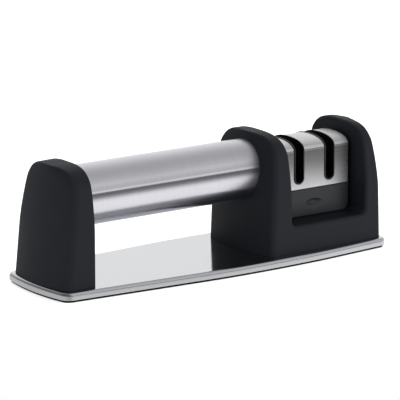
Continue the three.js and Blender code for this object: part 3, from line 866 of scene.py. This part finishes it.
@dataclass
class HeadHousing:
    """Head: two arched cheeks with the bay for the insert between them."""

    half_width: float = 28.1
    taper: float = 0.039
    crest: float = 2.6
    height: float = 60.9
    inner_bow: float = 3.8
    outer_bow: float = 2.4
    inner_corner: float = 2.8
    outer_corner: float = 2.0
    top_share: float = 0.58
    power: float = 2.0
    bay_corner: float = 3.0
    bay_draft: float = 0.01
    bay_edge: float = 2.0
    corner_steps: int = 10
    edge_steps: int = 5

    def block(self) -> Block:
        """Shapes the uncut head.

        Returns:
            The block, without its bay.
        """
        plan = Plan(
            left=End(LAYOUT.head_inner, self.inner_bow, self.inner_corner),
            right=End(LAYOUT.head_outer, self.outer_bow, self.outer_corner),
            half=self.half_width,
            widest=LAYOUT.bay_left - self.crest,
            right_taper=self.taper,
        )
        return Block(plan, self.height, self.top_share, self.power, LAYOUT.bay_left, LAYOUT.bay_right)

    def bay(self) -> Shape:
        """Builds the cutter for the bay.

        Returns:
            A trough with round lower corners, longer than the head is deep.
        """
        top = LAYOUT.base_top + self.height + 2 * LAYOUT.overrun
        foot, left, right, bend = LAYOUT.bay_floor, LAYOUT.bay_left, LAYOUT.bay_right, self.bay_corner
        draft = self.bay_draft * (top - foot)
        wall_left, wall_right = Vector((left, foot + bend)), Vector((right, foot + bend))
        floor_left, floor_right = Vector((left + bend, foot)), Vector((right - bend, foot))
        outline = [
            Vector((left - draft, top)),
            *rounded(wall_left, Vector((left, foot)), floor_left, self.corner_steps),
            *rounded(floor_right, Vector((right, foot)), wall_right, self.corner_steps),
            wall_right,
            Vector((right + draft, top)),
        ]
        reach = self.half_width + 4 * LAYOUT.overrun
        return skin([[Vector((p.x, y, p.y)) for p in outline] for y in (-reach, reach)])

    def in_bay(self, face: bmesh.types.BMFace) -> bool:
        """Tells whether a face belongs to the bay's floor, walls or corners.

        Args:
            face: Face of the cut head.

        Returns:
            True for a face that runs straight through the bay from front to back.
        """
        middle = face.calc_center_median() / MM
        draft = self.bay_draft * self.height
        between = LAYOUT.bay_left - draft < middle.x < LAYOUT.bay_right + draft
        return between and middle.z > LAYOUT.bay_floor - TOUCH and abs(face.normal.y) < LEVEL

    def build(self) -> None:
        """Builds the head, rounds the mouth of its bay and dresses it."""
        shape = carved(self.block().mesh(), [self.bay()])
        rim = [e for e in shape.edges if sum(self.in_bay(f) for f in e.link_faces) == 1]
        soften(shape, rim, self.bay_edge, self.edge_steps)
        deep = LAYOUT.bay_left - LAYOUT.head_socket_end
        socket = LAYOUT.socket(LAYOUT.head_inner - LAYOUT.overrun, deep)
        bores = LAYOUT.screw_bores(LAYOUT.head_screws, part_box("head_screw_1")[1].z / MM)
        stand_in(carved(shape, [socket, *bores]), "head_housing", "head_housing_moulding", Finish.BLOCK)
        for i in range(1, 5):
            dress(f"head_screw_{i}", Finish.SCREW)


@dataclass
class GripTube:
    """Steel tube between post and head."""

    wall: float = 1.0
    edge: float = 0.2

    def build(self) -> None:
        """Builds the tube and dresses it."""
        low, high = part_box("handle_tube")
        left, right = low.x / MM, high.x / MM
        outer, inner, edge = LAYOUT.tube_radius, LAYOUT.tube_radius - self.wall, self.edge
        profile = [
            (left, inner),
            (left, outer - edge),
            (left + edge, outer),
            (right - edge, outer),
            (right, outer - edge),
            (right, inner),
        ]
        shape = turned(profile, LAYOUT.tube_segments, LAYOUT.tube_axis)
        stand_in(shape, "handle_tube", "handle_tube_steel", Finish.TUBE)


@dataclass
class BaseTray:
    """Pressed steel tray with its stiffener and rubber mat."""

    half_width: float = 35.9
    widest: float = 23.6
    crest: float = 40.0
    post_taper: float = 0.069
    head_taper: float = 0.1
    end_bow: float = 3.1
    corner: float = 4.0
    sheet: float = 0.8
    bend: float = 1.7
    rim_lift: float = 1.3
    plan_steps: int = 10
    bend_steps: int = 6

    def ring(self, inset: float, height: float) -> Loop:
        """Outline of the base at an inset and a height.

        Args:
            inset: Distance inside the outer edge, in millimetres.
            height: Height in millimetres.

        Returns:
            Points of the ring.
        """
        plan = Plan(
            left=End(inset - LAYOUT.half_length, self.end_bow, self.corner - inset),
            right=End(LAYOUT.half_length - inset, self.end_bow, self.corner - inset),
            half=self.half_width - inset,
            widest=self.widest,
            crest=self.crest,
            left_taper=self.post_taper,
            right_taper=self.head_taper,
        )
        return [Vector((point.x, point.y, height)) for point in plan.outline(self.plan_steps)]

    def bent(self, inset: float, top: float, bend: float) -> list[Loop]:
        """Rings up a side of the sheet and round its bend.

        Args:
            inset: Distance of the side inside the outer edge.
            top: Height of the flat.
            bend: Radius of the bend.

        Returns:
            Rings from the rim to the flat.
        """
        turns = [math.radians(90 * i / self.bend_steps) for i in range(self.bend_steps + 1)]
        arc = [(inset + bend * (1 - math.cos(a)), top - bend * (1 - math.sin(a))) for a in turns]
        return [self.ring(inset, self.rim_lift), *(self.ring(*place) for place in arc)]

    def build(self) -> None:
        """Builds the tray and dresses it, the stiffener and the mat."""
        inside = self.bent(self.sheet, LAYOUT.base_top - self.sheet, self.bend - self.sheet)
        outside = self.bent(0, LAYOUT.base_top, self.bend)
        bores = LAYOUT.screw_bores([*LAYOUT.post_screws, *LAYOUT.head_screws], LAYOUT.base_top)
        shape = carved(skin([*inside[::-1], *outside]), bores)
        stand_in(shape, "base_plate", "base_plate_tray", Finish.TRAY)
        dress("base_core", Finish.HIDDEN)
        dress("base_pad", Finish.MAT)


@dataclass
class Insert:
    """Lift-out insert: moulded body, folded steel cover, bottom plate and axle."""

    half_depth: float = 13.4
    cover_margin: float = 0.7
    cover_sheet: float = 0.6
    cover_hem: float = 15.0
    cover_crown: float = 40.2
    cover_bend: float = 5.4
    cover_gap: float = 0.15
    shoulder: float = 4.0
    shoulder_drop: float = 1.2
    # Handles of the cover's curves: up from the bend, in and down to the shoulder, then over the vault
    bend_rise: float = 2.5
    shoulder_in: float = 1.8
    shoulder_fall: float = 0.8
    vault_in: float = 2.5
    vault_rise: float = 0.9
    crown_flat: float = 3.0
    curve_steps: int = 14
    edge: float = 0.2
    edge_degrees: float = 45.0
    edge_steps: int = 2
    slot_pitch: float = 19.4
    slot_width: float = 6.6
    slot_foot: float = 17.7
    slot_rim: float = 0.55
    slot_steps: int = 20
    scoop_reach: float = 6.3
    scoop_end: float = 7.3
    scoop_middle: float = 7.0
    scoop_depth: float = 1.75
    scoop_blend: float = 2.0
    scoop_steps: int = 8
    weld: float = 0.002
    flat_degrees: float = 1.0

    @property
    def origin(self) -> Vector:
        """Middle of the bay's floor, from which the insert is measured."""
        return Vector((LAYOUT.bay_centre, 0, LAYOUT.bay_floor))

    @property
    def stages(self) -> tuple[float, float]:
        """Places of the two slots from the middle of the insert."""
        return -self.slot_pitch / 2, self.slot_pitch / 2

    def corners(self, face: bmesh.types.BMFace) -> Loop:
        """Corners of a face from the middle of the bay's floor, in millimetres."""
        return [corner.co / MM - self.origin for corner in face.verts]

    def section(self, inset: float) -> Loop:
        """Half section of the cover across its slots, from the front hem to the crown.

        Args:
            inset: Distance inside the outer surface.

        Returns:
            Points as depth and height over the bay's floor.
        """
        half, crown = self.half_depth - inset, self.cover_crown - inset
        bend, level, inner = crown - self.cover_bend, crown - self.shoulder_drop, half - self.shoulder
        below = (half - self.shoulder_in, level - self.shoulder_fall)
        above = (inner - self.vault_in, level + self.vault_rise)
        rolled = [(half, bend), (half, bend + self.bend_rise), below, (inner, level)]
        vault = [(inner, level), above, (self.crown_flat, crown), (0, crown)]
        curves = [bezier([Vector(p) for p in controls], self.curve_steps) for controls in (rolled, vault)]
        return [Vector((half, self.cover_hem)), *curves[0], *curves[1]]

    def slot(self, centre: float) -> Shape:
        """Builds the cutter for a slot.

        Args:
            centre: Place of the slot from the middle of the insert.

        Returns:
            A round-footed prism, open at the top.
        """
        radius, past = self.slot_width / 2, 2 * LAYOUT.overrun
        bend, top, reach = self.slot_foot + radius, self.cover_crown + past, self.half_depth + past
        turns = [math.pi + math.pi * i / self.slot_steps for i in range(self.slot_steps + 1)]
        arc = [(centre + radius * math.cos(a), bend + radius * math.sin(a)) for a in turns]
        outline = [(centre - radius, top), *arc, (centre + radius, top)]
        return skin([[self.origin + Vector((x, y, z)) for x, z in outline] for y in (-reach, reach)])

    def cover(self) -> None:
        """Builds the folded cover, cuts its slots, breaks its edges and dresses it."""
        outer, inner = self.section(0.0), self.section(self.cover_sheet)
        mirror = Vector((-1, 1))
        top, under = (Vector((0, self.cover_crown - inset)) for inset in (0.0, self.cover_sheet))
        profile = [*outer, top, *(p * mirror for p in outer[::-1])]
        profile += [*(p * mirror for p in inner), under, *inner[::-1]]
        reach = LAYOUT.insert_half_width - self.cover_margin
        ends = [[self.origin + Vector((x, p.x, p.y)) for p in profile] for x in (-reach, reach)]
        shape = carved(skin(ends), [self.slot(centre) for centre in self.stages])
        soften(shape, sharp_edges(shape, self.edge_degrees), self.edge, self.edge_steps)
        stand_in(shape, "cartridge_cover", "cartridge_cover_sheet", Finish.COVER)

    def in_slot(self, face: bmesh.types.BMFace) -> bool:
        """Tells whether a face lies down in a slot, where shade is painted.

        Args:
            face: Face of the insert's body.

        Returns:
            True for a face inside the raised rim of a slot.
        """
        half = self.slot_width / 2 - self.cover_gap - self.slot_rim / 2
        places = self.corners(face)
        return any(
            all(abs(place.x - centre) < half and place.z > self.slot_foot for place in places)
            for centre in self.stages
        )

    def in_scoop(self, face: bmesh.types.BMFace) -> bool:
        """Tells whether a face lies in the finger scoop.

        Args:
            face: Face of the insert's body.

        Returns:
            True for a face of the scoop's outline, behind the front of the insert.
        """
        places, back = self.corners(face), self.scoop_depth - self.half_depth
        near = all(abs(p.x) < self.scoop_reach and p.z < self.cover_hem and p.y < back for p in places)
        return near and any(p.y > TOUCH - self.half_depth for p in places)

    def scoop(self, shape: Shape) -> None:
        """Moulds the finger scoop in its outline: steep under the brow and running out softly below.

        Args:
            shape: The insert's body, changed in place.
        """
        rough = [face for face in shape.faces if self.in_scoop(face)]
        bmesh.ops.delete(shape, geom=rough, context="FACES")
        beside: dict[bmesh.types.BMVert, list[bmesh.types.BMVert]] = {}
        for edge in shape.edges:
            if edge.is_boundary:
                for corner in edge.verts:
                    beside.setdefault(corner, []).append(edge.other_vert(corner))
        outline = [next(iter(beside))]
        while len(outline) < len(beside):
            outline.append(next(v for v in beside[outline[-1]] if v not in outline[-2:]))
        deepest = Vector((0, -self.half_depth, self.scoop_middle))
        sunk = Vector((0, self.scoop_depth, 0))
        rings = [outline]
        for step in range(1, self.scoop_steps):
            share = step / self.scoop_steps
            # A dish that falls away at once under the brow, and an even S below
            steep, soft = 1 - (1 - share) ** 3, share * share * (3 - 2 * share)
            ring = []
            for corner in outline:
                place = corner.co / MM - self.origin
                brow = min(max((place.z - self.scoop_end) / self.scoop_blend + 0.5, 0), 1)
                depth = sunk * (soft + (steep - soft) * brow)
                ring.append(shape.verts.new((self.origin + place.lerp(deepest, share) + depth) * MM))
            rings.append(ring)
        bottom = shape.verts.new((self.origin + deepest + sunk) * MM)
        for i in range(len(outline)):
            j = (i + 1) % len(outline)
            for wide, narrow in zip(rings, rings[1:]):
                shape.faces.new((wide[i], wide[j], narrow[j], narrow[i]))
            shape.faces.new((rings[-1][i], rings[-1][j], bottom))
        bmesh.ops.recalc_face_normals(shape, faces=shape.faces)

    def body(self) -> None:
        """Copies the moulded body, moulds its scoop and dresses it, with painted shade down in its slots."""
        shape = bmesh.new()
        shape.from_mesh(frame["nodes"]["cartridge_body"].data)
        bmesh.ops.remove_doubles(shape, verts=shape.verts, dist=self.weld * MM)
        limit = math.radians(self.flat_degrees)
        bmesh.ops.dissolve_limit(shape, angle_limit=limit, verts=shape.verts, edges=shape.edges)
        self.scoop(shape)
        for face in shape.faces:
            # Faces down in the slots are marked for painted shade, a near-black copy of the insert's plastic
            face.material_index = int(self.in_slot(face))
        piece = stand_in(shape, "cartridge_body", "cartridge_body_moulding", Finish.INSERT)
        # Second material: the painted shade for the slots
        piece.data.materials.append(Finish.LINER.make())

    def build(self) -> None:
        """Builds the cover and body, and dresses what lies inside."""
        self.cover()
        self.body()
        dress("cartridge_base", Finish.HIDDEN)
        dress("axle", Finish.AXLE)
        for i in (1, 2):
            dress(f"cartridge_screw_{i}", Finish.SCREW)


@dataclass
class WheelPair:
    """Hub and the two grinding wheels of a stage."""

    stage: str
    grit: Finish

    def build(self) -> None:
        """Dresses the hub and the wheels."""
        dress(f"{self.stage}_hub", Finish.HIDDEN)
        for side in ("left", "right"):
            dress(f"{self.stage}_wheel_{side}", self.grit)


@dataclass(frozen=True)
class SoftBox:
    """Square soft box, with its place and side in metres and its power in watts."""

    name: str
    place: tuple[float, float, float]
    size: float
    watts: float

    def hang(self, target: Vector) -> None:
        """Hangs the lamp, unseen in reflections.

        Args:
            target: Point that it is aimed at.
        """
        data = bpy.data.lights.new(self.name, "AREA")
        data.size = self.size
        data.energy = self.watts
        lamp = bpy.data.objects.new(self.name, data)
        lamp.location = self.place
        lamp.rotation_euler = (target - Vector(self.place)).to_track_quat("-Z", "Y").to_euler()
        lamp.visible_glossy = False
        bpy.context.scene.collection.objects.link(lamp)


@dataclass
class Studio:
    """White sweep, lamps and camera, in metres.

    Angles run about the long axis of the sharpener: 0 is level in front, 90 overhead and 180 level behind.
    """

    azimuth: float = -35.023
    elevation: float = 13.759
    distance: float = 1.8618
    lens: float = 328.877
    target: Vector = field(default_factory=lambda: Vector((0.054, 0.0, 33.253)) * MM)
    floor_front: float = -0.14
    floor_back: float = 0.9
    floor_half_width: float = 0.9
    floor_level: float = -0.05 * MM
    floor_glow: float = 0.5
    fill: float = 0.5
    lamps: tuple[SoftBox, ...] = (
        SoftBox("key", (0.42, -0.9, 0.2), 0.6, 13.0),
        SoftBox("left", (-0.9, -0.2, 0.15), 0.4, 5.5),
        SoftBox("rear", (0.3, 0.7, 0.7), 0.7, 8.0),
    )
    # The left of the studio is darker, most of all above the horizon, and fades out to the right
    left_low: float = 0.6
    left_high: float = 0.2
    horizon: float = 0.05
    fade_left: float = -0.35
    fade_right: float = 0.3
    # Brightness of the studio as polished metal sees it, by angle
    sweep: tuple[tuple[float, float], ...] = (
        (-180, 1.0), (-24, 1.0), (-16, 0.8), (-9, 0.45), (-3, 0.24), (6.5, 0.14), (10.5, 0.22),
        (12.5, 0.9), (16, 0.82), (20, 0.56), (30, 0.6), (40, 0.67), (52, 0.58), (70, 0.48),
        (92, 0.46), (112, 0.56), (138, 0.78), (156, 0.9), (166, 1.0), (180, 1.0),
    )

    def banded(self, add: Adder) -> bpy.types.Node:
        """Paints the studio that metal mirrors.

        Args:
            add: Function that adds a node to the world.

        Returns:
            Brightness in a direction.
        """
        parts = add("SeparateXYZ", {"Vector": add("TexCoord").outputs["Generated"]}).outputs
        forward = add("Math", {0: parts["Y"], 1: -1.0}, operation="MULTIPLY")
        angle = add("Math", {0: parts["Z"], 1: forward}, operation="ARCTAN2")
        share = add("MapRange", {"Value": angle, 1: -math.pi, 2: math.pi})
        bands = add("ValToRGB", {"Fac": share})
        stops = bands.color_ramp.elements
        while len(stops) < len(self.sweep):
            stops.new(0.5)
        for stop, (degrees, level) in zip(stops, self.sweep):
            stop.position = (degrees + 180) / 360
            stop.color = (level, level, level, 1.0)
        levels = {3: self.left_low, 4: self.left_high}
        left = add("MapRange", {"Value": parts["Z"], 1: -self.horizon, 2: self.horizon, **levels})
        side = add("MapRange", {"Value": parts["X"], 1: self.fade_left, 2: self.fade_right, 3: left, 4: 1.0})
        return add("Mix", {"Factor": 1.0, 6: bands, 7: side}, data_type="RGBA", blend_type="MULTIPLY")

    def world(self) -> None:
        """Lights the scene: white to the eye, a banded studio to metal and an even fill to the rest."""
        world = bpy.data.worlds.new("studio")
        bpy.context.scene.world = world
        world.use_nodes = True
        world.node_tree.nodes.clear()
        add = partial(add_node, world.node_tree)
        path = add("LightPath").outputs
        even = (self.fill, self.fill, self.fill, 1.0)
        lit = {"Factor": path["Is Glossy Ray"], 6: even, 7: self.banded(add)}
        light = add("Mix", lit, data_type="RGBA")
        sights = {0: path["Is Camera Ray"], 1: path["Is Transmission Ray"]}
        clear = add("Math", sights, operation="MAXIMUM")
        colour = add("Mix", {"Factor": clear, 6: light, 7: (1.0, 1.0, 1.0, 1.0)}, data_type="RGBA")
        add("OutputWorld", {"Surface": add("Background", {"Color": colour, "Strength": 1.0})})

    def floor(self) -> None:
        """Lays the white floor, which keeps the sharpener's shadow."""
        half, front, back = self.floor_half_width, self.floor_front, self.floor_back
        places = [(-half, front), (half, front), (half, back), (-half, back)]
        corners = [(x, y, self.floor_level) for x, y in places]
        mesh = bpy.data.meshes.new("floor")
        mesh.from_pydata(corners, [], [(0, 1, 2, 3)])
        piece = bpy.data.objects.new("floor", mesh)
        bpy.context.scene.collection.objects.link(piece)
        # Matt white paper: it glows a little to the eye, so that it stays white round a soft shadow.
        material, add = new_material("paper_white_matt")
        path = add("LightPath").outputs
        direct = add("Math", {0: path["Is Camera Ray"], 1: path["Is Glossy Ray"]}, operation="MAXIMUM")
        seen = add("Math", {0: direct, 1: path["Is Transmission Ray"]}, operation="MAXIMUM")
        glow = add("Math", {0: seen, 1: self.floor_glow}, operation="MULTIPLY")
        paper = add("BsdfDiffuse", {"Color": linear("#E8E8E8")})
        bright = add("Emission", {"Strength": glow})
        add("OutputMaterial", {"Surface": add("AddShader", {0: paper, 1: bright})})
        mesh.materials.append(material)
        piece.visible_glossy = False

    def camera(self) -> None:
        """Sets the camera at the photograph's viewing angle."""
        azimuth, elevation = math.radians(self.azimuth), math.radians(self.elevation)
        level = math.cos(elevation)
        back = Vector((math.sin(azimuth) * level, -math.cos(azimuth) * level, math.sin(elevation)))
        data = bpy.data.cameras.new("camera")
        data.lens = self.lens
        camera = bpy.data.objects.new("camera", data)
        camera.location = self.target + back * self.distance
        camera.rotation_euler = back.to_track_quat("Z", "Y").to_euler()
        bpy.context.scene.collection.objects.link(camera)
        bpy.context.scene.camera = camera

    def build(self) -> None:
        """Builds the studio round the sharpener."""
        self.world()
        self.floor()
        for lamp in self.lamps:
            lamp.hang(self.target)
        self.camera()
        bpy.context.scene.view_settings.view_transform = "Standard"
        log.info("studio ready")


def main() -> None:
    """Builds the pieces and the studio."""
    logging.basicConfig(level=logging.INFO, format="%(name)s: %(message)s")
    BaseTray().build()
    HandlePost().build()
    GripTube().build()
    HeadHousing().build()
    Insert().build()
    WheelPair("coarse", Finish.COARSE).build()
    WheelPair("fine", Finish.FINE).build()
    Studio().build()


if __name__ == "__main__":
    main()
